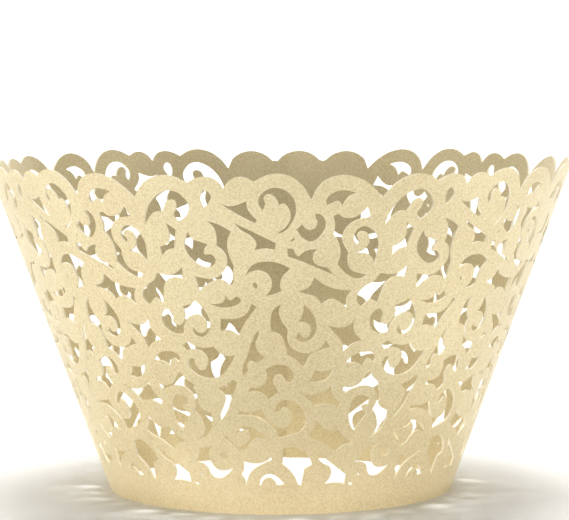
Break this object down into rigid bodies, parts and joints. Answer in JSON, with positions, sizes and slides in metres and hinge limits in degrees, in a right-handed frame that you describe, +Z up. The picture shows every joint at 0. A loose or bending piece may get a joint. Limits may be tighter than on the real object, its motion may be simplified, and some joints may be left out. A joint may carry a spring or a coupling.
{
  "type": "cupcake wrapper",
  "caption": "Open conical card wrapper for a cupcake, cut all over with scrolling vines, with a scalloped top edge and a lapped seam.",
  "frame": {"origin": "centre of the ring that the wrapper stands on", "axes": "+Z up the wrapper's axis to its wide mouth, -Y towards the middle of the pattern, +Y towards the seam"},
  "size_m": [0.0848, 0.0851, 0.0478],
  "materials": {
    "pearl_card": "pearl"
  },
  "bodies": {
    "root": {"wrapper": "pearl_card"}
  },
  "joints": []
}
